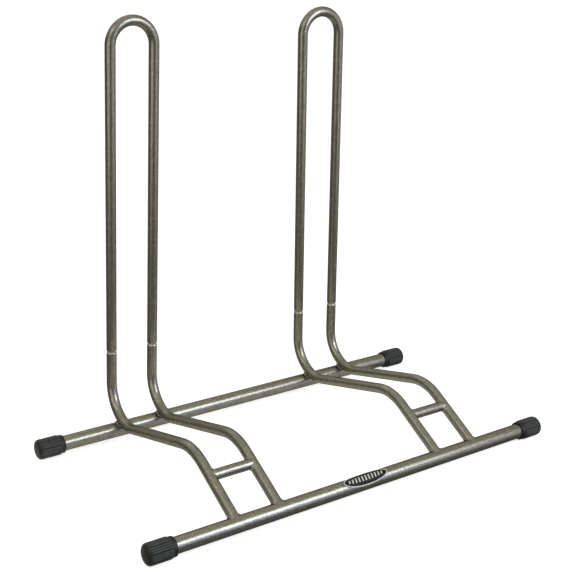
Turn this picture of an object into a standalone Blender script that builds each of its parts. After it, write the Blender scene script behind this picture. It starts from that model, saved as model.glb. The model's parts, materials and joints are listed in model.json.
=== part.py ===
"""Floor stand that holds two bikes side by side, each by one wheel.

Two base tubes lie on the floor in ribbed rubber end caps. Two wheel holders stand across them.
Each holder is a pair of bent rails joined by a cross strut, with a tall inverted-U hoop plugged
into the rails' upright ends. Metres, +Z up, +X along the base tubes, -Y to the front, and the
origin on the floor, in the middle of the overall width and depth.
"""

from math import asin, atan2, ceil, cos, pi, radians, sin, sqrt, tan

import bmesh
import bpy
from mathutils import Matrix, Vector

MM = 0.001
GAP = 0.3 * MM                      # clearance between neighbouring solids

# Base frame
OVERALL_WIDTH = 782 * MM            # over the end caps
BASE_SPACING = 372 * MM             # between the two base tubes' axes
BASE_R = 12.7 * MM                  # one inch tube
BASE_WALL = 1.5 * MM
BASE_SIDES = 24

# Ribbed rubber end caps
CAP_R = 16.9 * MM                   # over the ribs, and the base tubes' height above the floor
CAP_LENGTH = 47 * MM
CAP_END = 3.0 * MM                  # rubber beyond the tube's end
RIB_GROUPS = 8                      # groups of three ribs, with a wider groove between groups
RIB_PITCH = radians(12.5)           # between the ribs of one group
RIB_LAND = radians(7)               # angle that one rib's flat top covers
RIB_DEPTH = 1.0 * MM                # of the wider grooves
NARROW_DEPTH = 0.75                 # the grooves inside a group, against the wider ones
COLLAR_R = 15.5 * MM

# Wheel holders
HOLDER_X = 198.5 * MM               # each holder's middle, left and right of the origin
RAIL_PITCH = 78 * MM                # between a holder's two rails
TUBE_R = 8.75 * MM
TUBE_WALL = 1.5 * MM
TUBE_SIDES = 16
LEG_BEHIND = 31 * MM                # uprights' distance behind the rear base tube's axis
LEAN = radians(1.13)                # uprights lean in towards the other holder
BEND_R = 61 * MM
SHOULDER_R = 84 * MM
SHOULDER_FORWARD = 245 * MM         # shoulder corner, in front of the rear base tube's axis
SHOULDER_HEIGHT = 90 * MM           # and above the floor
RAMP_RISE = 3.0 * MM                # ramp's axis passes this far over the front base tube's axis
STRUT_ALONG = 0.40                  # strut's place from the shoulder corner to the ramp's end

# Plug joint between hoop and rails
JOINT_HEIGHT = 147.1 * MM
HOOP_TOP = 700.5 * MM               # height of the hoop's axis at its top
SPIGOT_R = 6.9 * MM
SPIGOT_LENGTH = 40 * MM
LIP_DROP = 1.4 * MM                 # rounding of the rail's rim, along and across
LIP_IN = 0.9 * MM
NECK_RISE = 1.2 * MM                # spigot left bare above the rail's rim
SHOULDER_RISE = 4.0 * MM            # top of the swaged step from spigot to full tube

# Oval badge wrapped over the front base tube
BADGE_LENGTH = 88 * MM
BADGE_HALF_WRAP = radians(58)
BADGE_TILT = radians(65)            # its middle, above the tube's front
BADGE_THICKNESS = 0.5 * MM

ARC_STEP = radians(15)
REAR_Y = (BASE_SPACING + CAP_R - LEG_BEHIND - TUBE_R) / 2    # centres the overall depth
FRONT_Y = REAR_Y - BASE_SPACING
LEG_Y = REAR_Y + LEG_BEHIND
X_AXIS = Vector((1, 0, 0))
Y_AXIS = Vector((0, 1, 0))

HOLDERS = {"left": -1, "right": 1}


# ---------------------------------------------------------------- materials

def material(name, colour, roughness, metallic):
    made = bpy.data.materials.new(name)
    made.use_nodes = True
    shader = made.node_tree.nodes["Principled BSDF"]
    shader.inputs["Base Color"].default_value = (*colour, 1)
    shader.inputs["Roughness"].default_value = roughness
    shader.inputs["Metallic"].default_value = metallic
    return made


def finish_object(name, mesh, finish):
    """Put a mesh in the scene under the piece's name, shaded smooth except at real edges."""
    piece = bpy.data.objects.new(name, mesh)
    bpy.context.collection.objects.link(piece)
    if finish and not mesh.materials:
        mesh.materials.append(finish)
    mesh.shade_smooth()
    mesh.set_sharp_from_angle(angle=radians(35))
    return piece


def as_cutter(piece):
    piece.hide_render = True
    piece.display_type = "WIRE"
    return piece


def cut(piece, *cutters):
    for cutter in cutters:
        boolean = piece.modifiers.new("clearance_" + cutter.name, "BOOLEAN")
        boolean.operation = "DIFFERENCE"
        boolean.solver = "EXACT"
        boolean.object = cutter


# ---------------------------------------------------------------- tube building

def rounded_path(corners, bend_radii):
    """Straight runs through the corners with an arc at each inner one, as (point, direction)."""
    path = [(corners[0], (corners[1] - corners[0]).normalized())]
    for before, corner, after, radius in zip(corners, corners[1:], corners[2:], bend_radii):
        into = (corner - before).normalized()
        out = (after - corner).normalized()
        turn = into.angle(out)
        inward = (out - into * into.dot(out)).normalized()
        start = corner - into * radius * tan(turn / 2)
        steps = ceil(turn / ARC_STEP)
        for step in range(steps + 1):
            angle = turn * step / steps
            point = start + radius * (into * sin(angle) + inward * (1 - cos(angle)))
            path.append((point, into * cos(angle) + inward * sin(angle)))
    path.append((corners[-1], (corners[-1] - corners[-2]).normalized()))
    return path


def ring(mesh, point, direction, reference, radius, sides):
    """A ring of vertices square to a direction, its first vertex towards the reference."""
    across = (reference - direction * reference.dot(direction)).normalized()
    other = direction.cross(across)
    angles = [2 * pi * step / sides for step in range(sides)]
    return [mesh.verts.new(point + radius * (across * cos(a) + other * sin(a))) for a in angles]


def skin(mesh, first, second):
    """Quads between two rings of equal count."""
    count = len(first)
    for i in range(count):
        j = (i + 1) % count
        mesh.faces.new((first[i], first[j], second[j], second[i]))


def skin_all(mesh, rings, closed):
    """Skin a row of rings, and join its ends or cap them."""
    for first, second in zip(rings, rings[1:]):
        skin(mesh, first, second)
    if closed:
        skin(mesh, rings[-1], rings[0])
    else:
        mesh.faces.new(rings[0])
        mesh.faces.new(rings[-1])


def to_mesh(name, mesh):
    bmesh.ops.recalc_face_normals(mesh, faces=mesh.faces)
    data = bpy.data.meshes.new(name)
    mesh.to_mesh(data)
    mesh.free()
    return data


def pipe(name, stations, reference, sides, finish):
    """A hollow tube with open ends. Each station is (point, direction, outer, bore)."""
    mesh = bmesh.new()
    skins = [(p, d, outer) for p, d, outer, _ in stations]
    skins += [(p, d, bore) for p, d, _, bore in reversed(stations)]
    rings = [ring(mesh, p, d, reference, radius, sides) for p, d, radius in skins]
    skin_all(mesh, rings, closed=True)
    return finish_object(name, to_mesh(name, mesh), finish)


def rod(name, path, reference, radius, sides):
    """A solid round bar along a path, used as the clearance around a tube."""
    mesh = bmesh.new()
    rings = [ring(mesh, p, d, reference, radius, sides) for p, d in path]
    skin_all(mesh, rings, closed=False)
    return as_cutter(finish_object(name, to_mesh(name, mesh), None))


# ---------------------------------------------------------------- base frame

def base_path(y, half_length):
    return [(Vector((x, y, CAP_R)), X_AXIS) for x in (-half_length, half_length)]


def base_tube(name, y, steel):
    half = OVERALL_WIDTH / 2 - CAP_END - GAP
    stations = [(p, d, BASE_R, BASE_R - BASE_WALL) for p, d in base_path(y, half)]
    return pipe(name, stations, Y_AXIS, BASE_SIDES, steel)


def base_clearance(name, y):
    half = OVERALL_WIDTH / 2 - CAP_END
    return rod(name, base_path(y, half), Y_AXIS, BASE_R + GAP, BASE_SIDES)


def cap_ring(mesh, x, radius, rib_depth):
    """One ring round the cap: each rib has two vertices on its land and one in the groove."""
    land_r = radius / cos(RIB_LAND / 2)
    turn = 2 * pi / RIB_GROUPS
    polar = []
    for group in range(RIB_GROUPS):
        for rib in (-1, 0, 1):
            middle = group * turn + rib * RIB_PITCH - pi / 2
            polar += [(middle - RIB_LAND / 2, land_r), (middle + RIB_LAND / 2, land_r)]
            if rib < 1:
                polar.append((middle + RIB_PITCH / 2, radius - rib_depth * NARROW_DEPTH))
            else:
                polar.append((group * turn + turn / 2 - pi / 2, radius - rib_depth))
    return [mesh.verts.new((x, r * cos(a), r * sin(a))) for a, r in polar]


def cap_mesh(rubber):
    """A solid ribbed cap, open end at x = 0 and closed end towards +X."""
    profile = [                     # distance from the open end, radius, rib depth
        (0.0, COLLAR_R - 1.2 * MM, 0.0),
        (1.2 * MM, COLLAR_R, 0.0),
        (7.5 * MM, COLLAR_R, 0.0),
        (9.5 * MM, CAP_R, RIB_DEPTH),
        (CAP_LENGTH - 5 * MM, CAP_R, RIB_DEPTH),
        (CAP_LENGTH - 1.5 * MM, CAP_R - 2 * MM, RIB_DEPTH / 2),
        (CAP_LENGTH, CAP_R - 5.5 * MM, 0.0),
    ]
    mesh = bmesh.new()
    skin_all(mesh, [cap_ring(mesh, *row) for row in profile], closed=False)
    data = to_mesh("foot_cap", mesh)
    data.materials.append(rubber)
    return data


def foot_cap(name, shared_mesh, side, y, clearance, rubber):
    cap = finish_object(name, shared_mesh, rubber)
    cap.location = (side * (OVERALL_WIDTH / 2 - CAP_LENGTH), y, CAP_R)
    cap.rotation_euler.z = 0 if side > 0 else pi
    cut(cap, clearance)
    return cap


# ---------------------------------------------------------------- wheel holders

def bend_corner_height():
    """Height of the lower bend's corner when the bend just rests on the rear base tube."""
    reach = BEND_R + TUBE_R + GAP + BASE_R
    centre = CAP_R + sqrt(reach ** 2 - (BEND_R - LEG_BEHIND) ** 2)
    corner = centre - BEND_R
    for _ in range(30):             # the corner's height and the bend's turn depend on each other
        slope = atan2(SHOULDER_HEIGHT - corner, LEG_BEHIND + SHOULDER_FORWARD)
        corner = centre - BEND_R * tan((pi / 2 + slope) / 2)
    return corner


def ramp_end_height():
    """Height of the ramp's axis straight above the front base tube's axis."""
    run = BASE_SPACING - SHOULDER_FORWARD
    height = CAP_R
    for _ in range(30):
        slope = atan2(SHOULDER_HEIGHT - height, run)
        height = CAP_R + RAMP_RISE / cos(slope)
    return height


BEND_CORNER = bend_corner_height()
RAMP_END = ramp_end_height()
RAMP_SLOPE = atan2(SHOULDER_HEIGHT - RAMP_END, BASE_SPACING - SHOULDER_FORWARD)
HALF_PITCH = RAIL_PITCH / 2


def upright_frame(side):
    """Frame of a holder's plug joint: local Z up along the leaning uprights, X across them."""
    up = Vector((-side * sin(LEAN), 0, cos(LEAN)))
    across = Vector((cos(LEAN), 0, side * sin(LEAN)))
    origin = Vector((side * HOLDER_X, LEG_Y, BEND_CORNER))
    origin += up * (JOINT_HEIGHT - BEND_CORNER) / cos(LEAN)
    frame = Matrix((across, Y_AXIS, up)).transposed().to_4x4()
    frame.translation = origin
    return frame


def rail_path(side, hand):
    """Axis of one rail, from its rim down the upright, over the shoulder and down the ramp."""
    x = side * HOLDER_X + hand * HALF_PITCH
    rim = upright_frame(side) @ Vector((hand * HALF_PITCH * cos(LEAN), 0, 0))
    bend = Vector((x, LEG_Y, BEND_CORNER))
    shoulder = Vector((x, REAR_Y - SHOULDER_FORWARD, SHOULDER_HEIGHT))
    past = RAMP_RISE * sin(RAMP_SLOPE)      # ends square to the ramp, over the base tube's axis
    end = Vector((x, FRONT_Y - past, CAP_R + RAMP_RISE * cos(RAMP_SLOPE)))
    return rounded_path([rim, bend, shoulder, end], [BEND_R, SHOULDER_R])


def rail(name, path, base, steel):
    bore = TUBE_R - TUBE_WALL
    rim, down = path[0]
    stations = [(rim, down, TUBE_R - LIP_IN, bore), (rim + down * LIP_DROP, down, TUBE_R, bore)]
    stations += [(p, d, TUBE_R, bore) for p, d in path[1:]]
    piece = pipe(name, stations, X_AXIS, TUBE_SIDES, steel)
    cut(piece, base)
    return piece


def strut_place(side):
    start = Vector((side * HOLDER_X, REAR_Y - SHOULDER_FORWARD, SHOULDER_HEIGHT))
    end = Vector((side * HOLDER_X, FRONT_Y, RAMP_END))
    return start.lerp(end, STRUT_ALONG)


def strut_path(side, short):
    middle = strut_place(side)
    half = HALF_PITCH - short
    return [(middle - X_AXIS * half, X_AXIS), (middle + X_AXIS * half, X_AXIS)]


def cross_strut(name, side, rail_clearances, steel):
    stations = [(p, d, TUBE_R, TUBE_R - TUBE_WALL) for p, d in strut_path(side, 2 * MM)]
    piece = pipe(name, stations, Y_AXIS, TUBE_SIDES, steel)
    cut(piece, *rail_clearances)
    return piece


def hoop_leg(x):
    """Stations up one leg of the hoop: spigot, swaged shoulder and the start of the full tube."""
    bore = TUBE_R - TUBE_WALL
    narrow = SPIGOT_R - TUBE_WALL
    rows = [                        # height above the joint, outer radius, bore radius
        (-SPIGOT_LENGTH, SPIGOT_R - 0.6 * MM, narrow),
        (-SPIGOT_LENGTH + MM, SPIGOT_R, narrow),
        (NECK_RISE, SPIGOT_R, narrow),
        (NECK_RISE + 0.6 * (SHOULDER_RISE - NECK_RISE), TUBE_R - 0.4 * MM, TUBE_R - 2.0 * MM),
        (SHOULDER_RISE, TUBE_R, bore),
    ]
    return [(Vector((x, 0, z)), outer, inner) for z, outer, inner in rows]


def upper_hoop(name, side, steel):
    """An inverted U in its own frame, whose local Z is the line it lifts off along."""
    up = Vector((0, 0, 1))
    half = HALF_PITCH * cos(LEAN)
    bore = TUBE_R - TUBE_WALL
    arc_height = (HOOP_TOP - JOINT_HEIGHT) / cos(LEAN) - half
    stations = [(p, up, outer, inner) for p, outer, inner in hoop_leg(-half)]
    steps = ceil(pi / ARC_STEP)
    for step in range(steps + 1):
        angle = pi * step / steps
        point = Vector((-half * cos(angle), 0, arc_height + half * sin(angle)))
        stations.append((point, Vector((sin(angle), 0, cos(angle))), TUBE_R, bore))
    stations += [(p, -up, outer, inner) for p, outer, inner in reversed(hoop_leg(half))]
    piece = pipe(name, stations, Y_AXIS, TUBE_SIDES, steel)
    piece.matrix_world = upright_frame(side)
    return piece


# ---------------------------------------------------------------- welds

def saddle_bead(name, centre, along, other, run_r, run_offset, side_bead, top_bead, steel):
    """A weld bead round a tube's end, where it lands on the side of a second round tube.

    centre is on the second tube's axis line, along points back up the landing tube, and other is
    square to both tubes' axes. run_offset is how far the landing tube's axis passes from centre.
    """
    steps, section = 20, 6
    tangent_x = along.cross(other)
    reach = 0.97 * TUBE_R
    loop = []
    for step in range(steps):
        angle = 2 * pi * step / steps
        depth = sqrt(run_r ** 2 - (run_offset + reach * sin(angle)) ** 2)
        offset = tangent_x * TUBE_R * cos(angle) + other * (run_offset + TUBE_R * sin(angle))
        radius = top_bead + (side_bead - top_bead) * cos(angle) ** 2
        loop.append((centre + offset + along * depth, radius))
    mesh = bmesh.new()
    rings = []
    for i, (point, radius) in enumerate(loop):
        direction = (loop[(i + 1) % steps][0] - loop[i - 1][0]).normalized()
        rings.append(ring(mesh, point, direction, along, radius, section))
    skin_all(mesh, rings, closed=True)
    return finish_object(name, to_mesh(name, mesh), steel)


def front_weld(name, side, hand, rail_clearance, base_clear, steel):
    centre = Vector((side * HOLDER_X + hand * HALF_PITCH, FRONT_Y, CAP_R))
    along = Vector((0, cos(RAMP_SLOPE), sin(RAMP_SLOPE)))
    over = Vector((0, -sin(RAMP_SLOPE), cos(RAMP_SLOPE)))
    bead = saddle_bead(name, centre, along, over, BASE_R, RAMP_RISE, 2.8 * MM, 1.8 * MM, steel)
    cut(bead, rail_clearance, base_clear)
    return bead


def strut_weld(name, side, hand, rail_clearance, strut_clearance, steel):
    centre = strut_place(side) + X_AXIS * hand * HALF_PITCH
    over = Vector((0, -sin(RAMP_SLOPE), cos(RAMP_SLOPE)))
    bead = saddle_bead(name, centre, -hand * X_AXIS, over, TUBE_R, 0, 2.6 * MM, 1.2 * MM, steel)
    cut(bead, rail_clearance, strut_clearance)
    return bead


def rear_weld(name, side, hand, rail_clearance, base_clear, steel):
    """A lens of weld in the wedge round the point where the bend rests on the rear base tube."""
    towards_front = asin((BEND_R - LEG_BEHIND) / (BEND_R + TUBE_R + GAP + BASE_R))
    normal = Vector((0, -sin(towards_front), cos(towards_front)))
    contact = Vector((side * HOLDER_X + hand * HALF_PITCH, REAR_Y, CAP_R))
    contact += normal * (BASE_R + GAP / 2)
    mesh = bmesh.new()
    bmesh.ops.create_uvsphere(mesh, u_segments=16, v_segments=8, radius=1)
    bmesh.ops.scale(mesh, vec=(9.5 * MM, 7.5 * MM, 4.0 * MM), verts=mesh.verts)
    bead = finish_object(name, to_mesh(name, mesh), steel)
    bead.rotation_euler.x = towards_front
    bead.location = contact
    cut(bead, rail_clearance, base_clear)
    return bead


# ---------------------------------------------------------------- badge

def badge(name, plate):
    """A blank oval plate bent over the front base tube."""
    segments, rows = 20, 3
    inner_r = BASE_R + 0.4 * MM

    def wrapped(x, angle):
        tilt = BADGE_TILT + angle
        return (x, FRONT_Y - inner_r * cos(tilt), CAP_R + inner_r * sin(tilt))

    mesh = bmesh.new()
    middle = mesh.verts.new(wrapped(0, 0))
    rings = []
    for row in range(1, rows + 1):
        size = row / rows
        turns = [2 * pi * step / segments for step in range(segments)]
        outline = [(BADGE_LENGTH / 2 * size * cos(t), BADGE_HALF_WRAP * size * sin(t)) for t in turns]
        rings.append([mesh.verts.new(wrapped(*spot)) for spot in outline])
    for i in range(segments):
        mesh.faces.new((middle, rings[0][i], rings[0][(i + 1) % segments]))
    for first, second in zip(rings, rings[1:]):
        skin(mesh, first, second)
    bmesh.ops.recalc_face_normals(mesh, faces=mesh.faces)
    if middle.normal.z < 0:
        bmesh.ops.reverse_faces(mesh, faces=mesh.faces)
    data = bpy.data.meshes.new(name)
    mesh.to_mesh(data)
    mesh.free()
    piece = finish_object(name, data, plate)
    thick = piece.modifiers.new("thickness", "SOLIDIFY")
    thick.thickness = BADGE_THICKNESS
    thick.offset = 1
    return piece


# ---------------------------------------------------------------- assembly

def build_base(steel, rubber):
    clearances = {}
    shared_cap = cap_mesh(rubber)
    for row, y in (("front", FRONT_Y), ("rear", REAR_Y)):
        base_tube(row + "_base_tube", y, steel)
        clearances[row] = base_clearance("clearance_base_" + row, y)
        for side_name, side in HOLDERS.items():
            foot_cap(f"foot_cap_{row}_{side_name}", shared_cap, side, y, clearances[row], rubber)
    return clearances


def build_holder(side_name, side, bases, steel):
    strut_clear = rod("clearance_strut_" + side_name, strut_path(side, 0), Y_AXIS,
                      TUBE_R + GAP, TUBE_SIDES)
    rail_clears = []
    for place, hand in (("outer", side), ("inner", -side)):
        label = f"{side_name}_{place}"
        path = rail_path(side, hand)
        rail("rail_" + label, path, bases["front"], steel)
        clear = rod("clearance_rail_" + label, path, X_AXIS, TUBE_R + GAP, TUBE_SIDES)
        rail_clears.append(clear)
        front_weld("weld_front_" + label, side, hand, clear, bases["front"], steel)
        rear_weld("weld_rear_" + label, side, hand, clear, bases["rear"], steel)
        strut_weld("weld_strut_" + label, side, hand, clear, strut_clear, steel)
    cross_strut("cross_strut_" + side_name, side, rail_clears, steel)
    upper_hoop("upper_hoop_" + side_name, side, steel)


def main():
    for old in list(bpy.data.objects):
        bpy.data.objects.remove(old, do_unlink=True)
    steel = material("gunmetal_steel", (0.17, 0.155, 0.12), 0.32, 0.85)
    rubber = material("black_rubber", (0.025, 0.027, 0.024), 0.6, 0.0)
    plate = material("dark_badge", (0.03, 0.03, 0.03), 0.4, 0.0)
    bases = build_base(steel, rubber)
    for side_name, side in HOLDERS.items():
        build_holder(side_name, side, bases, steel)
    badge("badge", plate)


main()
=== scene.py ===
"""Looks of the two-bike floor stand: smooth bent tubes, welds, ribbed rubber caps and a plain badge.

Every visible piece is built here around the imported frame. Metres, +Z up, +X along the base tubes,
-Y to the front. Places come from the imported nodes' boxes; the bends share the frame's dimensions.
"""

import json
from math import atan2, ceil, cos, degrees, exp, pi, radians, sin, sqrt, tan

import bmesh
import bpy
from mathutils import Matrix, Vector


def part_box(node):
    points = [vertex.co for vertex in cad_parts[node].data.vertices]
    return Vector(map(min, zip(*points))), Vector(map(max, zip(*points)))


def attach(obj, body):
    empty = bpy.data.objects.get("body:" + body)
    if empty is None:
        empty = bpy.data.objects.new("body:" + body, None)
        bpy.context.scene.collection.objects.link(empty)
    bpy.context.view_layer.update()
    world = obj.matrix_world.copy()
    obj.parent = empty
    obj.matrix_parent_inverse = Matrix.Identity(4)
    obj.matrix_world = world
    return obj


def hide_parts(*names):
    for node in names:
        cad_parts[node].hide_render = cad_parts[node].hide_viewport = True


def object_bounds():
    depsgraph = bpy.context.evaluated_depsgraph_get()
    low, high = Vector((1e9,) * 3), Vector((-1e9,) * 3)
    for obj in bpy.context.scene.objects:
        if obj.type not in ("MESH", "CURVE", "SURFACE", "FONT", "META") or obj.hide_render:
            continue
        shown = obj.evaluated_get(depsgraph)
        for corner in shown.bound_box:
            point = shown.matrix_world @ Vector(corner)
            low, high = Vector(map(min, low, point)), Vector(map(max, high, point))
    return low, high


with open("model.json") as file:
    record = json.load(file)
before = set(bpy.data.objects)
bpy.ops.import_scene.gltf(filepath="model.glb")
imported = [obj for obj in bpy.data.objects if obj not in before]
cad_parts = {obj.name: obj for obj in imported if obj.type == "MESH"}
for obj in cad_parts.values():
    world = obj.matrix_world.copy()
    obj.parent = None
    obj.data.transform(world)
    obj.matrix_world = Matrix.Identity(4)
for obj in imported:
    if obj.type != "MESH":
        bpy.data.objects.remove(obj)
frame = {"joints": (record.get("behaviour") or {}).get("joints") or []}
CAD_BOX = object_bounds()

MM = 0.001
X_AXIS = Vector((1, 0, 0))
Y_AXIS = Vector((0, 1, 0))
HOLDERS = {"left": -1, "right": 1}
JOINTS = {joint["name"]: joint for joint in frame["joints"]}

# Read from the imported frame
FRONT_LOW, FRONT_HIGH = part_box("front_base_tube")
REAR_LOW, REAR_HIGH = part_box("rear_base_tube")
CAP_LOW, CAP_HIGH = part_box("foot_cap_front_right")
STRUT_LOW, STRUT_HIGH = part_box("cross_strut_right")
BADGE_HALF_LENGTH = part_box("badge")[1].x
RAIL_BOXES = {hand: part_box("rail_right_" + hand) for hand in ("inner", "outer")}
BASE_R = (FRONT_HIGH.z - FRONT_LOW.z) / 2
BASE_HALF_LENGTH = FRONT_HIGH.x
AXIS_HEIGHT = (FRONT_HIGH.z + FRONT_LOW.z) / 2
FRONT_Y = (FRONT_HIGH.y + FRONT_LOW.y) / 2
REAR_Y = (REAR_HIGH.y + REAR_LOW.y) / 2
CAP_R = (CAP_HIGH.z - CAP_LOW.z) / 2
CAP_LENGTH = CAP_HIGH.x - CAP_LOW.x
CAP_END_X = CAP_HIGH.x
TUBE_R = (STRUT_HIGH.z - STRUT_LOW.z) / 2
STRUT_PLACE = (STRUT_HIGH + STRUT_LOW) / 2
RAIL_X = {hand: high.x - TUBE_R for hand, (low, high) in RAIL_BOXES.items()}
HOLDER_X = (RAIL_X["inner"] + RAIL_X["outer"]) / 2
HALF_PITCH = (RAIL_X["outer"] - RAIL_X["inner"]) / 2
LEG_Y = RAIL_BOXES["outer"][1].y - TUBE_R
LEAN_AXIS = Vector(JOINTS["right_hoop_lift"]["axis"]).normalized()
LEAN = atan2(-LEAN_AXIS.x, LEAN_AXIS.z)

# Bends and joints that the frame's tubes are made with
BASE_WALL = 1.5 * MM
TUBE_WALL = 1.5 * MM
TUBE_BORE_R = TUBE_R - TUBE_WALL
BEND_R = 61 * MM                    # lower bend of a rail, resting on the rear base tube
SHOULDER_R = 84 * MM                # upper bend of a rail, at the top of its ramp
SHOULDER_FORWARD = 245 * MM         # in front of the rear base tube
SHOULDER_HEIGHT = 90 * MM
RAMP_RISE = 3.0 * MM                # how far a ramp's axis passes over the front base tube's
REST_GAP = 0.3 * MM                 # between a bend and the rear base tube
JOINT_HEIGHT = 147.1 * MM           # rims of the rails' open upper ends
HOOP_TOP = 700.5 * MM               # axis of a hoop's arc at its highest point
SPIGOT_R = 6.9 * MM
SPIGOT_LENGTH = 40 * MM
LIP_DROP = 1.4 * MM                 # a rail's rounded rim, down and in
LIP_IN = 0.9 * MM
NECK_RISE = 1.2 * MM                # bare neck and swaged shoulder of a hoop, above the rims
SHOULDER_RISE = 4.0 * MM
COPE_OVERLAP = 0.15 * MM            # how far a coped end runs into the tube it meets

# Rubber caps
COLLAR_R = 15.5 * MM
RIB_GROUPS = 8                      # of three ribs each
RIB_PITCH = 12.5                    # degrees between the ribs of a group
RIB_DEPTH = 1.0 * MM
NARROW_DEPTH = 0.75                 # depth of a groove inside a group, as a share of RIB_DEPTH
NARROW_SPREAD = 2.4                 # degrees from a groove's middle to its flanks
WIDE_SPREAD = 5.2
BODY_RIB_LIGHT = 0.35                    # painted light of a cap's smooth parts, between a groove's painted shade at 0 and a rib land's painted highlight at 1

# Welds and badge
FRONT_WELD_LEGS = (4.6 * MM, 2.0 * MM)          # at the sides and on top of the landing tube
STRUT_WELD_LEGS = (3.6 * MM, 1.0 * MM)
REAR_WELD_REACH = (8.6 * MM, 6.4 * MM)          # across the rail and along it
REAR_WELD_R = 2.4 * MM
BADGE_HALF_WRAP = radians(58)
BADGE_TILT = radians(65)                        # of the badge's middle, up from facing the front
BADGE_BASE, BADGE_TOP = 0.1 * MM, 0.8 * MM      # heights above the tube
BORDER_INSETS = (2.7 * MM, 0.5 * MM)
BORDER_BASE, BORDER_TOP = 0.7 * MM, 0.98 * MM
BAR_COUNT = 11
BAR_PITCH = 6.4 * MM
BAR_HALF_WIDTH = 1.5 * MM
BAR_SLANT = 1.2 * MM                            # sideways, from a bar's middle to its end
BAR_BASE, BAR_TOP = 0.75 * MM, 1.0 * MM

# Fineness of the round surfaces
TUBE_SIDES = 56
BASE_SIDES = 80
CAP_SIDES = RIB_GROUPS * 42
ARC_STEP = radians(3)
STRAIGHT_STEP = 40 * MM


# ---------------------------------------------------------------- shader nodes

def node(tree, kind, inputs=None, **settings):
    """Add a shader node; inputs may be values or other nodes' output sockets."""
    made = tree.nodes.new(kind)
    for key, value in settings.items():
        setattr(made, key, value)
    for key, value in (inputs or {}).items():
        if isinstance(value, bpy.types.NodeSocket):
            tree.links.new(value, made.inputs[key])
        else:
            made.inputs[key].default_value = value
    return made


def ramp(tree, factor, stops):
    """A colour ramp through (position, colour) stops."""
    made = node(tree, "ShaderNodeValToRGB", {"Fac": factor})
    elements = made.color_ramp.elements
    while len(elements) < len(stops):
        elements.new(0.5)
    for element, (position, colour) in zip(elements, stops):
        element.position = position
        element.color = (*colour, 1) if len(colour) == 3 else colour
    return made.outputs["Color"]


def mix(tree, factor, first, second, blend="MIX"):
    """Blend two colours; any of the three may be a value or a socket."""
    made = node(tree, "ShaderNodeMix", data_type="RGBA", blend_type=blend)
    for index, value in ((0, factor), (6, first), (7, second)):
        if isinstance(value, bpy.types.NodeSocket):
            tree.links.new(value, made.inputs[index])
        else:
            made.inputs[index].default_value = value if index == 0 else (*value, 1)
    return made.outputs[2]


def noise(tree, vector, scale, detail=3.0, roughness=0.55):
    """Cloudy 0..1 noise over a vector."""
    inputs = {"Vector": vector, "Scale": scale, "Detail": detail, "Roughness": roughness}
    return node(tree, "ShaderNodeTexNoise", inputs).outputs["Fac"]


def spread(tree, value, low, high):
    """Map a 0..1 value on to low..high."""
    inputs = {"Value": value, "To Min": low, "To Max": high}
    return node(tree, "ShaderNodeMapRange", inputs).outputs["Result"]


def stretched(tree, vector, scale):
    """A vector scaled by its own amount along each axis."""
    return node(tree, "ShaderNodeMapping", {"Vector": vector, "Scale": scale}).outputs["Vector"]


def new_material(name):
    """An empty material, with its node tree and its one shader."""
    made = bpy.data.materials.new(name)
    made.use_nodes = True
    return made, made.node_tree, made.node_tree.nodes["Principled BSDF"]


def plug(tree, shader, values):
    """Set a shader's inputs to values or to other nodes' output sockets."""
    for key, value in values.items():
        if isinstance(value, bpy.types.NodeSocket):
            tree.links.new(value, shader.inputs[key])
        else:
            shader.inputs[key].default_value = value


# ---------------------------------------------------------------- materials

def gunmetal_paint():
    """Warm grey metallic paint: satin, with drawn streaks along the tube, mottle and fine flakes."""
    made, tree, shader = new_material("gunmetal_paint")
    place = node(tree, "ShaderNodeTexCoord").outputs["Object"]
    along = node(tree, "ShaderNodeUVMap", uv_map="tube").outputs["UV"]
    streaks = noise(tree, stretched(tree, along, (12, 700, 1)), 1.0, 4, 0.6)
    mottle = noise(tree, place, 420, 4, 0.6)
    blotches = noise(tree, place, 170, 3, 0.6)
    clouds = noise(tree, place, 38, 3, 0.5)
    flakes = noise(tree, place, 2400, 2, 0.7)
    base = ramp(tree, mottle, [(0.30, (0.270, 0.247, 0.183)), (0.50, (0.400, 0.380, 0.305)),
                               (0.70, (0.560, 0.546, 0.463))])
    base = mix(tree, spread(tree, streaks, -0.25, 0.55), base, (0.520, 0.500, 0.412))
    base = mix(tree, spread(tree, clouds, -0.2, 0.5), base, (0.345, 0.325, 0.258))
    base = mix(tree, spread(tree, flakes, -0.1, 0.4), base, (0.300, 0.282, 0.226))
    patches = ramp(tree, blotches, [(0.3, (0.82, 0.80, 0.78)), (0.7, (1.16, 1.17, 1.18))])
    base = mix(tree, 1.0, base, patches, "MULTIPLY")
    facing = node(tree, "ShaderNodeLayerWeight", {"Blend": 0.5}).outputs["Facing"]
    flop = ramp(tree, facing, [(0.40, (1, 1, 1)), (0.60, (0.78, 0.78, 0.78)), (0.85, (0.45, 0.45, 0.45))])
    base = mix(tree, 1.0, base, flop, "MULTIPLY")
    # Painted shade: the paint's colour is darkened where ambient occlusion finds near surfaces, in
    # crevices and at the weld toes.
    openness = node(tree, "ShaderNodeAmbientOcclusion", {"Distance": 8 * MM}, samples=6).outputs["AO"]
    crevice_shade = ramp(tree, openness, [(0.30, (0.16, 0.15, 0.13)), (0.74, (1, 1, 1))])
    base = mix(tree, 1.0, base, crevice_shade, "MULTIPLY")
    grain = node(tree, "ShaderNodeMath", {0: flakes, 1: mottle}, operation="ADD")
    bump = node(tree, "ShaderNodeBump",
                {"Height": grain.outputs[0], "Strength": 0.34, "Distance": 0.0002})
    plug(tree, shader, {
        "Base Color": base, "Metallic": 0.92, "Roughness": spread(tree, streaks, 0.21, 0.34),
        "Specular Tint": (0.40, 0.39, 0.34, 1), "Normal": bump.outputs["Normal"],
        "Coat Weight": 0.12, "Coat Roughness": spread(tree, mottle, 0.16, 0.28), "Coat IOR": 1.5,
    })
    return made


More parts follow.
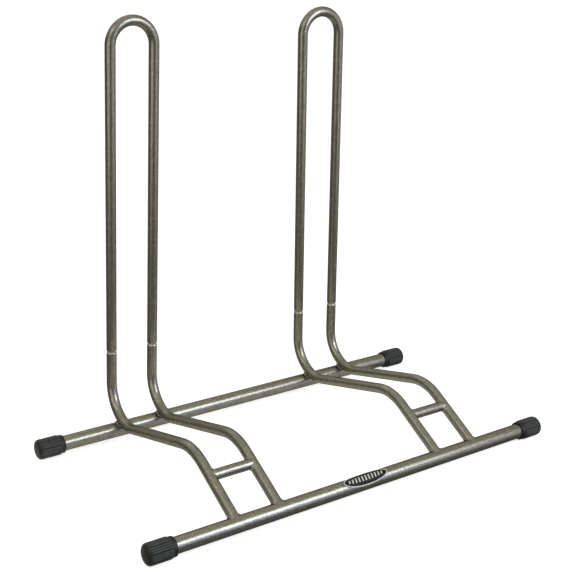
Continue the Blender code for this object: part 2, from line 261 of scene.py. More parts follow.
def bare_steel():
    """Bright drawn steel of the plug ends, ringed by the swaging die."""
    made, tree, shader = new_material("bare_steel")
    along = node(tree, "ShaderNodeUVMap", uv_map="tube").outputs["UV"]
    rings = noise(tree, stretched(tree, along, (2600, 60, 1)), 1.0, 4)
    bump = node(tree, "ShaderNodeBump", {"Height": rings, "Strength": 0.25, "Distance": 0.0001})
    plug(tree, shader, {
        "Base Color": ramp(tree, rings, [(0.3, (0.86, 0.82, 0.74)), (0.7, (0.96, 0.92, 0.84))]),
        "Metallic": 0.95, "Roughness": spread(tree, rings, 0.18, 0.30), "Normal": bump.outputs["Normal"],
    })
    return made


def moulded_rubber():
    """Near-black rubber with a fine matt grain, a painted grey highlight on the lands and painted shade
    in the grooves between them.
    """
    made, tree, shader = new_material("moulded_rubber")
    place = node(tree, "ShaderNodeTexCoord").outputs["Object"]
    grain = noise(tree, place, 1500, 4, 0.7)
    bloom = noise(tree, place, 110, 4, 0.6)
    # Painted light: the lands get a painted grey highlight, the grooves painted shade, the smooth parts a
    # level between.
    rib_light = node(tree, "ShaderNodeAttribute", attribute_name="rib_light").outputs["Fac"]
    base = ramp(tree, rib_light, [(0.0, (0.0060, 0.0066, 0.0058)), (BODY_RIB_LIGHT, (0.0140, 0.0162, 0.0150)),
                             (1.0, (0.0600, 0.0645, 0.0550))])
    patches = ramp(tree, bloom, [(0.3, (0.64, 0.64, 0.64)), (0.75, (1.38, 1.38, 1.38))])
    base = mix(tree, 1.0, base, patches, "MULTIPLY")
    bump = node(tree, "ShaderNodeBump", {"Height": grain, "Strength": 0.35, "Distance": 0.0003})
    plug(tree, shader, {
        "Base Color": base, "Roughness": spread(tree, bloom, 0.40, 0.56),
        "Normal": bump.outputs["Normal"], "Specular IOR Level": 0.5,
    })
    return made


def badge_enamel():
    """Glossy charcoal enamel with a little orange peel."""
    made, tree, shader = new_material("badge_enamel")
    place = node(tree, "ShaderNodeTexCoord").outputs["Object"]
    peel = noise(tree, place, 500, 3)
    bump = node(tree, "ShaderNodeBump", {"Height": peel, "Strength": 0.15, "Distance": 0.0003})
    plug(tree, shader, {
        "Base Color": ramp(tree, peel, [(0.3, (0.010, 0.008, 0.005)), (0.7, (0.019, 0.015, 0.010))]),
        "Roughness": spread(tree, peel, 0.42, 0.56), "Normal": bump.outputs["Normal"],
        "Specular IOR Level": 0.22,
    })
    return made


def badge_print():
    """Pale silver-grey raised print of the badge."""
    made, tree, shader = new_material("badge_print")
    place = node(tree, "ShaderNodeTexCoord").outputs["Object"]
    grain = noise(tree, place, 1200, 3)
    bump = node(tree, "ShaderNodeBump", {"Height": grain, "Strength": 0.2, "Distance": 0.0002})
    plug(tree, shader, {
        "Base Color": ramp(tree, grain, [(0.3, (0.66, 0.65, 0.60)), (0.7, (0.82, 0.81, 0.76))]),
        "Metallic": 0.1, "Roughness": spread(tree, grain, 0.35, 0.5), "Normal": bump.outputs["Normal"],
    })
    return made


def floor_paper():
    """Plain pale studio paper, lifted to white for the camera only."""
    made, tree, shader = new_material("floor_paper")
    place = node(tree, "ShaderNodeTexCoord").outputs["Object"]
    fibre = noise(tree, place, 60, 5)
    seen = node(tree, "ShaderNodeLightPath").outputs["Is Camera Ray"]
    plug(tree, shader, {
        "Base Color": ramp(tree, fibre, [(0.3, (0.905, 0.905, 0.905)), (0.7, (0.93, 0.93, 0.93))]),
        "Roughness": 0.95, "Specular IOR Level": 0.1, "Emission Color": (1, 1, 1, 1),
        "Emission Strength": spread(tree, seen, 0.0, 0.72),
    })
    return made


# ---------------------------------------------------------------- tube geometry

def rounded_path(corners, bend_radii):
    """Straight runs through the corners with an arc at each inner one, as (point, direction)."""
    path = [(corners[0], (corners[1] - corners[0]).normalized())]
    for before, corner, after, radius in zip(corners, corners[1:], corners[2:], bend_radii):
        into = (corner - before).normalized()
        out = (after - corner).normalized()
        turn = into.angle(out)
        inward = (out - into * into.dot(out)).normalized()
        start = corner - into * radius * tan(turn / 2)
        steps = ceil(turn / ARC_STEP)
        for step in range(steps + 1):
            angle = turn * step / steps
            point = start + radius * (into * sin(angle) + inward * (1 - cos(angle)))
            path.append((point, into * cos(angle) + inward * sin(angle)))
    path.append((corners[-1], (corners[-1] - corners[-2]).normalized()))
    return path


def filled_in(stations):
    """Split long straight runs, so that a tube's faces stay well shaped."""
    filled = [stations[0]]
    for last, here in zip(stations, stations[1:]):
        run = (here[0] - last[0]).length
        parts = max(1, round(run / STRAIGHT_STEP))
        for part in range(1, parts):
            share = part / parts
            radii = [a + (b - a) * share for a, b in zip(last[2:], here[2:])]
            filled.append((last[0].lerp(here[0], share), last[1].lerp(here[1], share), *radii))
        filled.append(here)
    return filled


def ring(mesh, point, direction, reference, radius, sides):
    """A ring of vertices square to a direction, its first vertex towards the reference."""
    across = (reference - direction * reference.dot(direction)).normalized()
    other = direction.cross(across)
    angles = [2 * pi * step / sides for step in range(sides)]
    return [mesh.verts.new(point + radius * (across * cos(a) + other * sin(a))) for a in angles]


def skin(mesh, uv, first, second, u_first, u_second, girth):
    """Quads between two rings, with metres along and round the tube as their UV."""
    count = len(first)
    for i in range(count):
        j = (i + 1) % count
        face = mesh.faces.new((first[i], first[j], second[j], second[i]))
        v, w = girth * i / count, girth * (i + 1) / count
        for loop, spot in zip(face.loops, ((u_first, v), (u_first, w), (u_second, w), (u_second, v))):
            loop[uv].uv = spot


def smooth_object(name, mesh, finish, sharp=40):
    """Turn a bmesh into an object, smooth but for edges over the sharp angle in degrees."""
    bmesh.ops.recalc_face_normals(mesh, faces=mesh.faces)
    data = bpy.data.meshes.new(name)
    mesh.to_mesh(data)
    mesh.free()
    data.shade_smooth()
    data.set_sharp_from_angle(angle=radians(sharp))
    data.materials.append(finish)
    piece = bpy.data.objects.new(name, data)
    bpy.context.scene.collection.objects.link(piece)
    return piece


def pipe(name, stations, reference, sides, finish):
    """A hollow tube with open ends. Each station is (point, direction, outer, bore)."""
    stations = filled_in(stations)
    mesh = bmesh.new()
    uv = mesh.loops.layers.uv.new("tube")
    skins = [(p, d, outer) for p, d, outer, _ in stations]
    skins += [(p, d, bore) for p, d, _, bore in reversed(stations)]
    rings = [ring(mesh, p, d, reference, radius, sides) for p, d, radius in skins]
    girth = 2 * pi * stations[len(stations) // 2][2]
    along = 0.0
    for i in range(len(rings)):
        j = (i + 1) % len(rings)
        step = (skins[j][0] - skins[i][0]).length + abs(skins[j][2] - skins[i][2])
        skin(mesh, uv, rings[i], rings[j], along, along + step, girth)
        along += step
    return smooth_object(name, mesh, finish)


def finished(piece, body, slot, *nodes):
    """Let a piece ride on its body in the place of the frame's own nodes."""
    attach(piece, body)
    if nodes:
        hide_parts(*nodes)
    return piece


# ---------------------------------------------------------------- base frame

def base_tube(name, y, paint):
    """A straight hollow tube along X."""
    stations = [(Vector((x, y, AXIS_HEIGHT)), X_AXIS, BASE_R, BASE_R - BASE_WALL)
                for x in (-BASE_HALF_LENGTH, BASE_HALF_LENGTH)]
    return pipe(name, stations, Y_AXIS, BASE_SIDES, paint)


def rib_wave(angle):
    """1 on a rib's land, falling to 0 in the wide grooves between groups of three ribs.

    The middle rib of one group faces straight down.
    """
    turn = 360 / RIB_GROUPS
    off_middle = abs((degrees(angle) + 90 + turn / 2) % turn - turn / 2)
    narrow = exp(-((off_middle - RIB_PITCH / 2) / NARROW_SPREAD) ** 2)
    wide = exp(-((turn / 2 - off_middle) / WIDE_SPREAD) ** 4)
    return 1 - NARROW_DEPTH * narrow - wide


def cap_profile():
    """(distance from the mouth, radius, rib strength) over the outside, then back up the bore."""
    bore = BASE_R + 0.1 * MM
    lip = 1.3 * MM
    edge = 6.0 * MM
    rows = [(0.0, bore, 0), (0.0, COLLAR_R - lip, 0)]
    rows += [(lip * (1 - cos(radians(t))), COLLAR_R - lip * (1 - sin(radians(t))), 0)
             for t in (20, 45, 70, 90)]
    rows += [(6.9 * MM, COLLAR_R, 0), (7.2 * MM, COLLAR_R + 0.1 * MM, 0),
             (7.5 * MM, COLLAR_R + 0.4 * MM, 0.15), (8.0 * MM, CAP_R - 0.45 * MM, 0.55),
             (8.6 * MM, CAP_R - 0.1 * MM, 0.9), (9.4 * MM, CAP_R, 1)]
    rows += [(x * MM, CAP_R, 1) for x in (14, 19, 24, 29, 34)]
    for tilt in range(0, 91, 9):
        t = radians(tilt)
        strength = max(0.0, 1 - tilt / 60)
        rows.append((CAP_LENGTH - 0.7 * MM - edge * (1 - sin(t)), CAP_R - edge * (1 - cos(t)), strength))
    rows += [(CAP_LENGTH - 0.3 * MM, CAP_R * 0.45, 0), (CAP_LENGTH, CAP_R * 0.12, 0)]
    inside = CAP_LENGTH - 2.9 * MM
    rows += [(inside, bore * 0.15, 0), (inside, bore, 0)]
    return rows


def cap_mesh():
    """One cap along +X from its mouth; a float layer on its points gives each one's painted light: a
    painted highlight on a rib's land, painted shade in a groove.
    """
    mesh = bmesh.new()
    uv = mesh.loops.layers.uv.new("tube")
    rib_light = mesh.verts.layers.float.new("rib_light")
    profile = cap_profile()
    rings = []
    for x, radius, strength in profile:
        points = []
        for step in range(CAP_SIDES):
            a = 2 * pi * step / CAP_SIDES
            wave = rib_wave(a)
            r = radius - RIB_DEPTH * strength * (1 - wave)
            point = mesh.verts.new((x, r * cos(a), r * sin(a)))
            # Painted light: a rib's land gets 1, the painted highlight; a groove 0, painted shade; smooth
            # parts the level between.
            point[rib_light] = strength * wave + (1 - strength) * BODY_RIB_LIGHT
            points.append(point)
        rings.append(points)
    for i, (first, second) in enumerate(zip(rings, rings[1:] + rings[:1])):
        if i == len(profile) - 3:
            mesh.faces.new(first)       # the outer face's middle
            mesh.faces.new(second)      # and the bore's end
            continue
        skin(mesh, uv, first, second, i * MM, (i + 1) * MM, 0.1)
    return mesh


def foot_cap(name, side, y, rubber):
    """A ribbed cap pushed over a base tube's end."""
    cap = smooth_object(name, cap_mesh(), rubber, sharp=60)
    cap.location = (side * (CAP_END_X - CAP_LENGTH), y, AXIS_HEIGHT)
    cap.rotation_euler.z = 0 if side > 0 else pi
    return cap


# ---------------------------------------------------------------- wheel holders

def bend_corner_height():
    """Height of the lower bend's corner when the bend just rests on the rear base tube."""
    behind = LEG_Y - REAR_Y
    reach = BEND_R + TUBE_R + REST_GAP + BASE_R
    centre = AXIS_HEIGHT + sqrt(reach ** 2 - (BEND_R - behind) ** 2)
    corner = centre - BEND_R
    for _ in range(30):
        slope = atan2(SHOULDER_HEIGHT - corner, behind + SHOULDER_FORWARD)
        corner = centre - BEND_R * tan((pi / 2 + slope) / 2)
    return corner


def ramp_end_height():
    """Height of the ramp's axis straight above the front base tube's axis."""
    height = AXIS_HEIGHT
    for _ in range(30):
        slope = atan2(SHOULDER_HEIGHT - height, SHOULDER_Y - FRONT_Y)
        height = AXIS_HEIGHT + RAMP_RISE / cos(slope)
    return height


SHOULDER_Y = REAR_Y - SHOULDER_FORWARD
BEND_CORNER = bend_corner_height()
RAMP_SLOPE = atan2(SHOULDER_HEIGHT - ramp_end_height(), SHOULDER_Y - FRONT_Y)
RAMP_UP = Vector((0, cos(RAMP_SLOPE), sin(RAMP_SLOPE)))      # back up the ramp
RAMP_OVER = Vector((0, -sin(RAMP_SLOPE), cos(RAMP_SLOPE)))   # square to it, away from the floor


def upright_frame(side):
    """Frame of a holder's plug joint: local Z up along the leaning uprights, X across them."""
    up = Vector((-side * sin(LEAN), 0, cos(LEAN)))
    across = Vector((cos(LEAN), 0, side * sin(LEAN)))
    origin = Vector((side * HOLDER_X, LEG_Y, BEND_CORNER))
    origin += up * (JOINT_HEIGHT - BEND_CORNER) / cos(LEAN)
    made = Matrix((across, Y_AXIS, up)).transposed().to_4x4()
    made.translation = origin
    return made


def rim_rows():
    """Rounded rim of a rail's open upper end: (distance down, outer radius, bore radius)."""
    rows = [(0.0, TUBE_R - LIP_IN - 0.2 * MM, TUBE_BORE_R + 0.15 * MM)]
    for tilt in (8, 25, 42, 60, 76, 90):
        t = radians(tilt)
        rows.append((LIP_DROP * (1 - cos(t)), TUBE_R - LIP_IN * (1 - sin(t)), TUBE_BORE_R))
    return rows


def rail(name, side, hand, paint, steel, cope):
    """A bent rail: upright, lower bend, rise to the shoulder, and ramp down to the front base tube."""
    x = side * HOLDER_X + hand * HALF_PITCH
    upright = upright_frame(side)
    rim = upright @ Vector((hand * HALF_PITCH * cos(LEAN), 0, 0))
    bend = Vector((x, LEG_Y, BEND_CORNER))
    shoulder = Vector((x, SHOULDER_Y, SHOULDER_HEIGHT))
    end = Vector((x, FRONT_Y, AXIS_HEIGHT)) + RAMP_OVER * RAMP_RISE
    path = rounded_path([rim, bend, shoulder, end], [BEND_R, SHOULDER_R])
    top, down = path[0]
    stations = [(top + down * drop, down, outer, inner) for drop, outer, inner in rim_rows()]
    stations += [(p, d, TUBE_R, TUBE_BORE_R) for p, d in path[1:]]
    piece = pipe(name, stations, X_AXIS, TUBE_SIDES, paint)
    cut_away(piece, cope)
    bare_where(piece, steel, lambda spot: (upright.inverted() @ spot).z > -0.97 * LIP_DROP)
    return piece


def bare_where(piece, steel, is_bare):
    """Give the steel's finish to the faces whose middles the test picks."""
    piece.data.materials.append(steel)
    for face in piece.data.polygons:
        if is_bare(face.center):
            face.material_index = 1


def cut_away(piece, *cutters):
    """Cut a piece with solid bars and keep the plain mesh."""
    for cutter in cutters:
        boolean = piece.modifiers.new("cope", "BOOLEAN")
        boolean.operation = "DIFFERENCE"
        boolean.solver = "EXACT"
        boolean.object = cutter
    bpy.context.view_layer.update()
    graph = bpy.context.evaluated_depsgraph_get()
    data = bpy.data.meshes.new_from_object(piece.evaluated_get(graph), depsgraph=graph)
    piece.modifiers.clear()
    piece.data = data


def solid_bar(name, start, end, radius, sides):
    """A solid round bar, only ever used to cut with."""
    mesh = bmesh.new()
    direction = (end - start).normalized()
    reference = Y_AXIS if abs(direction.y) < 0.5 else X_AXIS
    first = ring(mesh, start, direction, reference, radius, sides)
    second = ring(mesh, end, direction, reference, radius, sides)
    for i in range(sides):
        j = (i + 1) % sides
        mesh.faces.new((first[i], first[j], second[j], second[i]))
    mesh.faces.new(first)
    mesh.faces.new(second)
    bmesh.ops.recalc_face_normals(mesh, faces=mesh.faces)
    data = bpy.data.meshes.new(name)
    mesh.to_mesh(data)
    mesh.free()
    bar = bpy.data.objects.new(name, data)
    bpy.context.scene.collection.objects.link(bar)
    return bar


def strut_middle(side):
    """The middle of a holder's cross strut, on its axis."""
    return Vector((side * HOLDER_X, STRUT_PLACE.y, STRUT_PLACE.z))


def cross_strut(name, side, paint, ramp_bars):
    """A short tube between a holder's ramps, coped at both ends."""
    middle = strut_middle(side)
    half = HALF_PITCH - 2 * MM
    stations = [(middle + X_AXIS * x, X_AXIS, TUBE_R, TUBE_BORE_R) for x in (-half, half)]
    piece = pipe(name, stations, Y_AXIS, TUBE_SIDES, paint)
    cut_away(piece, *ramp_bars)
    return piece


def hoop_leg_rows():
    """Spigot, bare neck and swaged shoulder: (height above the joint, outer radius, bore radius)."""
    narrow = SPIGOT_R - TUBE_WALL
    rows = [(-SPIGOT_LENGTH, SPIGOT_R - 0.8 * MM, narrow),
            (-SPIGOT_LENGTH + 0.3 * MM, SPIGOT_R - 0.3 * MM, narrow),
            (-SPIGOT_LENGTH + MM, SPIGOT_R, narrow), (NECK_RISE, SPIGOT_R, narrow)]
    steps = 10
    for step in range(1, steps + 1):
        share = step / steps
        ease = share * share * (3 - 2 * share)
        height = NECK_RISE + (SHOULDER_RISE - NECK_RISE) * share
        outer = SPIGOT_R + (TUBE_R - SPIGOT_R) * ease ** 0.7
        rows.append((height, outer, narrow + (TUBE_BORE_R - narrow) * ease))
    return rows


def upper_hoop(name, side, paint, steel):
    """An inverted U with a swaged spigot at each lower end, made upright and then leaned in."""
    up = Vector((0, 0, 1))
    half = HALF_PITCH * cos(LEAN)
    arc_height = (HOOP_TOP - JOINT_HEIGHT) / cos(LEAN) - half
    rows = hoop_leg_rows()
    stations = [(Vector((-half, 0, z)), up, outer, inner) for z, outer, inner in rows]
    steps = ceil(pi / ARC_STEP)
    for step in range(steps + 1):
        angle = pi * step / steps
        point = Vector((-half * cos(angle), 0, arc_height + half * sin(angle)))
        stations.append((point, Vector((sin(angle), 0, cos(angle))), TUBE_R, TUBE_BORE_R))
    stations += [(Vector((half, 0, z)), -up, outer, inner) for z, outer, inner in reversed(rows)]
    piece = pipe(name, stations, Y_AXIS, TUBE_SIDES, paint)
    bare_where(piece, steel, lambda spot: spot.z < NECK_RISE + 0.3 * MM)
    piece.matrix_world = upright_frame(side)
    return piece


# ---------------------------------------------------------------- welds

def ripple(step, steps, count):
    """The slight rise and fall of a weld's size, count times round."""
    return 1 + 0.07 * sin(2 * pi * count * step / steps)


def bead_loop(name, loop, reference, finish):
    """A closed round bead through (point, radius) pairs."""
    sides = 16
    mesh = bmesh.new()
    uv = mesh.loops.layers.uv.new("tube")
    rings = []
    for i, (point, radius) in enumerate(loop):
        direction = (loop[(i + 1) % len(loop)][0] - loop[i - 1][0]).normalized()
        rings.append(ring(mesh, point, direction, reference, radius, sides))
    for i, (first, second) in enumerate(zip(rings, rings[1:] + rings[:1])):
        skin(mesh, uv, first, second, i * 0.6 * MM, (i + 1) * 0.6 * MM, 16 * MM)
    return smooth_object(name, mesh, finish, sharp=80)


def fillet(name, centre, along, other, run_r, run_offset, legs, paint):
    """A hollow-faced weld round a tube's end, where it lands on the side of a second round tube.

    centre is on the second tube's axis, along points back up the landing tube, and other is square
    to both axes; the landing tube's axis passes run_offset beside centre.
    """
    steps, ripples, facets = 180, 20, 7
    side_leg, top_leg = legs
    sink = 0.05 * MM            # of the weld's edges into the tubes
    within = 0.97               # of the landing tube's radius, so that its end still meets the other
    fullness = 0.16             # 0 is a face bent right into the corner, 0.5 a flat one
    across = along.cross(other)
    mesh = bmesh.new()
    uv = mesh.loops.layers.uv.new("tube")
    rings = []
    for step in range(steps):
        angle = 2 * pi * step / steps
        outward = across * cos(angle) + other * sin(angle)
        depth = sqrt(run_r ** 2 - (run_offset + within * TUBE_R * sin(angle)) ** 2)
        root = centre + other * run_offset + outward * TUBE_R + along * depth
        foot = centre + across * (root - centre).dot(across)
        normal = (root - foot).normalized()
        slide = (outward - normal * outward.dot(normal)).normalized()
        leg = (top_leg + (side_leg - top_leg) * cos(angle) ** 2) * ripple(step, steps, ripples)
        high = root + along * leg - outward * sink
        reach = root + slide * leg - foot
        sideways = across * reach.dot(across)
        low = foot + sideways + (reach - sideways).normalized() * (run_r - sink)
        middle = root + (high + low - 2 * root) * fullness
        section = []
        for facet in range(facets + 1):
            t = facet / facets
            section.append(high * (1 - t) ** 2 + middle * 2 * t * (1 - t) + low * t * t)
        section.append(root - outward * 1.2 * MM - normal * 0.8 * MM)       # inside the tubes' walls
        rings.append([mesh.verts.new(point) for point in section])
    for i, (first, second) in enumerate(zip(rings, rings[1:] + rings[:1])):
        skin(mesh, uv, first, second, i * 0.5 * MM, (i + 1) * 0.5 * MM, 14 * MM)
    return smooth_object(name, mesh, paint, sharp=70)


def front_weld(name, side, hand, paint):
    """Weld round a ramp's lower end, on the front base tube."""
    centre = Vector((side * HOLDER_X + hand * HALF_PITCH, FRONT_Y, AXIS_HEIGHT))
    return fillet(name, centre, RAMP_UP, RAMP_OVER, BASE_R, RAMP_RISE, FRONT_WELD_LEGS, paint)


def strut_weld(name, side, hand, paint):
    """Weld round one end of a cross strut, on the ramp beside it."""
    centre = strut_middle(side) + X_AXIS * hand * HALF_PITCH
    return fillet(name, centre, -hand * X_AXIS, RAMP_OVER, TUBE_R, 0, STRUT_WELD_LEGS, paint)


def rear_weld(name, side, hand, paint):
    """Weld laid along both flanks of the wedge where the bend rests on the rear base tube."""
    towards_front = (BEND_R - (LEG_Y - REAR_Y)) / (BEND_R + TUBE_R + REST_GAP + BASE_R)
    tilt = atan2(towards_front, sqrt(1 - towards_front ** 2))
    normal = Vector((0, -sin(tilt), cos(tilt)))
    down_rail = Vector((0, -cos(tilt), -sin(tilt)))
    contact = Vector((side * HOLDER_X + hand * HALF_PITCH, REAR_Y, AXIS_HEIGHT)) + normal * BASE_R
    steps, ripples = 150, 18
    loop = []
    for step in range(steps):
        angle = 2 * pi * step / steps
        x = REAR_WELD_REACH[0] * cos(angle)
        y = REAR_WELD_REACH[1] * sin(angle)
        rail_gap = TUBE_R - sqrt(max(0, TUBE_R ** 2 - x * x))
        base_gap = BASE_R - sqrt(BASE_R ** 2 - y * y)
        point = contact + X_AXIS * x + down_rail * y + normal * (0.5 * rail_gap - 0.5 * base_gap)
        loop.append((point, REAR_WELD_R * ripple(step, steps, ripples)))
    return bead_loop(name, loop, normal, paint)


# ---------------------------------------------------------------- badge

def on_tube(x, angle, height):
    """A point over the front base tube: x along it, angle from the badge's middle, height above it."""
    reach = BASE_R + height
    tilt = BADGE_TILT + angle
    return Vector((x, FRONT_Y - reach * cos(tilt), AXIS_HEIGHT + reach * sin(tilt)))


def badge_oval(inset):
    """Half length and half wrap angle of the badge's outline, moved in by an even inset."""
    return Vector((BADGE_HALF_LENGTH - inset, BADGE_HALF_WRAP - inset / BASE_R))


def curved_band(name, inner, outer, base, top, finish, edge, columns):
    """A band between two ovals, wrapped over the tube; edge is the bevel's share of its width."""
    steps = 120
    turns = [2 * pi * step / steps for step in range(steps)]
    rows = [(0, base), (0.3 * edge, base + 0.7 * (top - base)), (edge, top)]
    rows += [(edge + (1 - 2 * edge) * i / columns, top) for i in range(1, columns)]
    rows += [(1 - edge, top), (1 - 0.3 * edge, base + 0.7 * (top - base)), (1, base)]
    rows += [(1 - i / columns, base) for i in range(1, columns)]
    mesh = bmesh.new()
    uv = mesh.loops.layers.uv.new("tube")
    rings = []
    for share, height in rows:
        oval = inner.lerp(outer, share)
        rings.append([mesh.verts.new(on_tube(oval.x * cos(t), oval.y * sin(t), height)) for t in turns])
    for i, (first, second) in enumerate(zip(rings, rings[1:] + rings[:1])):
        skin(mesh, uv, first, second, i * MM, (i + 1) * MM, 0.2)
    return smooth_object(name, mesh, finish, sharp=50)


def badge_bars(name, finish):
    """A plain row of like slanted bars, each a small raised block on the curved plate."""
    bevel = 0.15 * MM
    section = ((-BAR_HALF_WIDTH, BAR_BASE), (-BAR_HALF_WIDTH + bevel, BAR_TOP),
               (BAR_HALF_WIDTH - bevel, BAR_TOP), (BAR_HALF_WIDTH, BAR_BASE))
    field_half_length = BADGE_HALF_LENGTH * 0.86
    field_half_wrap = BADGE_HALF_WRAP * 0.36
    rows = 8
    mesh = bmesh.new()
    for bar in range(BAR_COUNT):
        middle = (bar - (BAR_COUNT - 1) / 2) * BAR_PITCH
        half_angle = field_half_wrap * sqrt(max(0.05, 1 - (middle / field_half_length) ** 2))
        columns = []
        for row in range(rows + 1):
            share = 2 * row / rows - 1
            x = middle + BAR_SLANT * share
            angle = half_angle * share
            columns.append([mesh.verts.new(on_tube(x + dx, angle, h)) for dx, h in section])
        for first, second in zip(columns, columns[1:]):
            for i in range(4):
                j = (i + 1) % 4
                mesh.faces.new((first[i], first[j], second[j], second[i]))
        mesh.faces.new(columns[0])
        mesh.faces.new(columns[-1])
    return smooth_object(name, mesh, finish, sharp=40)


# ---------------------------------------------------------------- assembly

def build_base(paint, rubber):
    """Both base tubes and their four caps."""
    for row, y in (("front", FRONT_Y), ("rear", REAR_Y)):
        tube = row + "_base_tube"
        finished(base_tube("tube_" + row, y, paint), "base_frame", "gunmetal_steel", tube)
        for side_name, side in HOLDERS.items():
            cap = f"foot_cap_{row}_{side_name}"
            made = foot_cap(f"cap_{row}_{side_name}", side, y, rubber)
            finished(made, "base_frame", "black_rubber", cap)


def build_holder(side_name, side, paint, steel, cope):
    """One wheel holder: two rails with their welds, a cross strut and a lift-off hoop."""
    bars = []
    for place, hand in (("outer", side), ("inner", -side)):
        label = f"{side_name}_{place}"
        made = rail("bent_rail_" + label, side, hand, paint, steel, cope)
        finished(made, "base_frame", "gunmetal_steel", "rail_" + label)
        for kind, build in (("front", front_weld), ("strut", strut_weld), ("rear", rear_weld)):
            bead = build(f"bead_{kind}_{label}", side, hand, paint)
            finished(bead, "base_frame", "gunmetal_steel", f"weld_{kind}_{label}")
        on_ramp = strut_middle(side) + X_AXIS * hand * HALF_PITCH
        reach = RAMP_UP * 30 * MM
        low, high = on_ramp - reach, on_ramp + reach
        bars.append(solid_bar("ramp_bar", low, high, TUBE_R - COPE_OVERLAP, TUBE_SIDES))
    strut = cross_strut("strut_" + side_name, side, paint, bars)
    finished(strut, "base_frame", "gunmetal_steel", "cross_strut_" + side_name)
    for bar in bars:
        bpy.data.objects.remove(bar)
    hoop = upper_hoop("hoop_" + side_name, side, paint, steel)
    finished(hoop, side_name + "_hoop", "gunmetal_steel", "upper_hoop_" + side_name)


def build_badge():
    """Dark oval plate with a raised border and bars; a bar covers the pinhole in its middle."""
    enamel, print_finish = badge_enamel(), badge_print()
    outline = badge_oval(0)
    plate = curved_band("badge_plate", outline * 0.02, outline, BADGE_BASE, BADGE_TOP, enamel,
                        edge=0.012, columns=14)
    finished(plate, "base_frame", "dark_badge", "badge")
    inner, outer = (badge_oval(inset) for inset in BORDER_INSETS)
    border = curved_band("badge_border", inner, outer, BORDER_BASE, BORDER_TOP, print_finish,
                         edge=0.15, columns=3)
    finished(border, "base_frame", "dark_badge")
    finished(badge_bars("badge_bars", print_finish), "base_frame", "dark_badge")


def build_stand():
    """Every visible piece, each riding on its body."""
    paint, steel, rubber = gunmetal_paint(), bare_steel(), moulded_rubber()
    build_base(paint, rubber)
    low = Vector((-BASE_HALF_LENGTH, FRONT_Y, AXIS_HEIGHT))
    high = Vector((BASE_HALF_LENGTH, FRONT_Y, AXIS_HEIGHT))
    cope = solid_bar("front_bar", low, high, BASE_R - COPE_OVERLAP, BASE_SIDES)
    for side_name, side in HOLDERS.items():
        build_holder(side_name, side, paint, steel, cope)
    bpy.data.objects.remove(cope)
    build_badge()


# ---------------------------------------------------------------- studio

CAMERA_AT = Vector((-1.0428, -1.4323, 0.9067))
CAMERA_YAW = radians(35.521)        # from straight ahead (+Y) towards +X
CAMERA_PITCH = radians(19.283)      # downwards
CAMERA_ROLL = radians(1.680)
SENSOR = 36.0
LENS = 72.04


def build_camera():
    """The camera, aimed by yaw, pitch and roll."""
    data = bpy.data.cameras.new("camera")
    data.sensor_width = SENSOR
    data.lens = LENS
    forward = Vector((sin(CAMERA_YAW) * cos(CAMERA_PITCH), cos(CAMERA_YAW) * cos(CAMERA_PITCH),
                      -sin(CAMERA_PITCH)))
    right = Vector((cos(CAMERA_YAW), -sin(CAMERA_YAW), 0))
    up = right.cross(forward)
    tilted_right = right * cos(CAMERA_ROLL) + up * sin(CAMERA_ROLL)
    tilted_up = up * cos(CAMERA_ROLL) - right * sin(CAMERA_ROLL)
    camera = bpy.data.objects.new("camera", data)
    camera.matrix_world = Matrix((tilted_right, tilted_up, -forward)).transposed().to_4x4()
    camera.location = CAMERA_AT
    bpy.context.scene.collection.objects.link(camera)
    bpy.context.scene.camera = camera


def soft_box(name, place, aim, size, radiance, colour=(1, 1, 1)):
    """A soft panel of even brightness that no camera ray sees."""
    data = bpy.data.lights.new(name, "AREA")
    data.shape = "RECTANGLE"
    data.size, data.size_y = size
    data.energy = radiance * size[0] * size[1] * pi
    data.color = colour
    lamp = bpy.data.objects.new(name, data)
    lamp.location = place
    lamp.rotation_euler = (Vector(aim) - Vector(place)).to_track_quat("-Z", "Y").to_euler()
    lamp.visible_camera = False
    bpy.context.scene.collection.objects.link(lamp)


def build_lights():
    """A cool key from the front right, soft panels on the left, and glow from the floor."""
    aim = (-0.05, -0.1, 0.05)
    soft_box("key", (0.85, -1.64, 1.28), aim, (0.98, 1.06), 4.9, (0.80, 0.87, 1.0))
    soft_box("left_panel", (-2.27, -0.84, 0.60), (0, 0, 0.35), (2.1, 1.3), 0.80, (1.0, 0.98, 0.90))
    soft_box("left_high", (-1.45, -0.60, 1.85), (0, 0, 0.15), (0.5, 0.5), 2.7, (1.0, 0.98, 0.95))
    lift = CAD_BOX[0].z - 0.1 * MM
    soft_box("floor_bounce", (-0.05, 0.06, lift), (-0.05, 0.06, 1), (0.74, 0.44), 0.30, (1.0, 0.99, 0.93))
    soft_box("floor_glow", (1.30, -2.15, lift), (1.30, -2.15, 1), (2.3, 1.4), 0.72, (0.95, 1.0, 1.0))


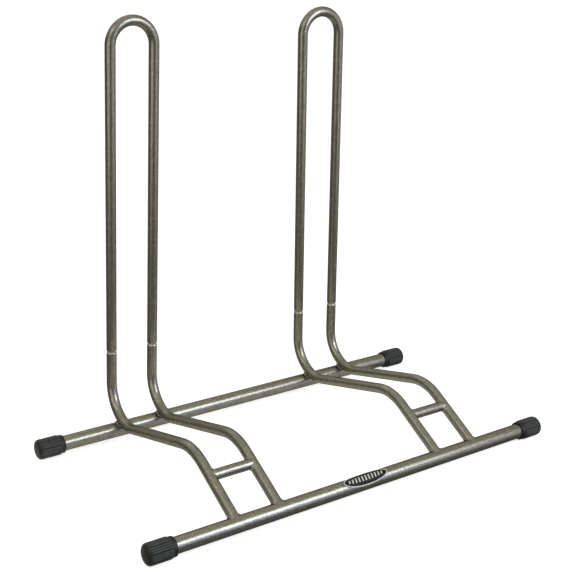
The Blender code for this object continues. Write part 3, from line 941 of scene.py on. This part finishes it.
def build_world():
    """Light from all round: brighter overhead and low behind, dark below the front and to the left."""
    world = bpy.data.worlds.new("studio")
    bpy.context.scene.world = world
    world.use_nodes = True
    tree = world.node_tree
    tree.nodes.clear()
    direction = node(tree, "ShaderNodeTexCoord").outputs["Generated"]
    x, y, z = node(tree, "ShaderNodeSeparateXYZ", {0: direction}).outputs

    def ease(value, low, high):
        inputs = {"Value": value, "From Min": low, "From Max": high}
        made = node(tree, "ShaderNodeMapRange", inputs, interpolation_type="SMOOTHSTEP")
        return made.outputs["Result"]

    def product(first, second):
        return node(tree, "ShaderNodeMath", {0: first, 1: second}, operation="MULTIPLY").outputs[0]

    def band(value, start, stop, soft):
        return product(ease(value, start, start + soft), ease(value, stop, stop - soft))

    # Dark in front, pale behind and to the right, darkest on the left
    rear, right = ease(y, -0.2, 0.7), ease(x, 0.48, 0.66)
    horizon = mix(tree, rear, (0.13, 0.13, 0.125), (0.53, 0.52, 0.47))
    horizon = mix(tree, right, horizon, (0.53, 0.48, 0.43))
    ground = mix(tree, rear, (0.12, 0.12, 0.115), (0.50, 0.495, 0.44))
    top = mix(tree, right, (0.50, 0.495, 0.45), (0.32, 0.315, 0.28))
    dome = mix(tree, ease(z, -0.05, -0.45), horizon, ground)
    dome = mix(tree, ease(x, -0.15, -0.65), dome, (0.10, 0.10, 0.09))
    dome = mix(tree, ease(z, 0.15, 0.75), dome, top)
    # A blue window low in front, right of the middle, and a white skylight high behind
    window = product(product(band(x, 0.22, 0.66, 0.12), band(z, -0.07, 0.35, 0.13)), ease(y, -0.3, -0.6))
    dome = mix(tree, window, dome, (0.78, 1.06, 2.05))
    skylight = product(product(band(x, -0.28, 0.42, 0.16), band(z, 0.42, 0.86, 0.12)), ease(y, 0.1, 0.4))
    dome = mix(tree, skylight, dome, (0.86, 0.86, 0.83))
    # The camera itself sees plain white
    seen = node(tree, "ShaderNodeBackground", {"Color": (1, 1, 1, 1), "Strength": 1.0}).outputs[0]
    lighting = node(tree, "ShaderNodeBackground", {"Color": dome, "Strength": 1.0}).outputs[0]
    camera_ray = node(tree, "ShaderNodeLightPath").outputs["Is Camera Ray"]
    joined = node(tree, "ShaderNodeMixShader", {0: camera_ray, 1: lighting, 2: seen})
    node(tree, "ShaderNodeOutputWorld", {"Surface": joined.outputs[0]})


def build_floor():
    """A wide pale floor just under the caps, left out of reflections."""
    mesh = bmesh.new()
    bmesh.ops.create_grid(mesh, x_segments=4, y_segments=4, size=30)
    data = bpy.data.meshes.new("floor")
    mesh.to_mesh(data)
    mesh.free()
    data.materials.append(floor_paper())
    floor = bpy.data.objects.new("floor", data)
    floor.location.z = CAD_BOX[0].z - 0.2 * MM
    floor.visible_glossy = False
    bpy.context.scene.collection.objects.link(floor)


build_stand()
build_camera()
build_lights()
build_world()
build_floor()
bpy.context.scene.view_settings.view_transform = "Standard"
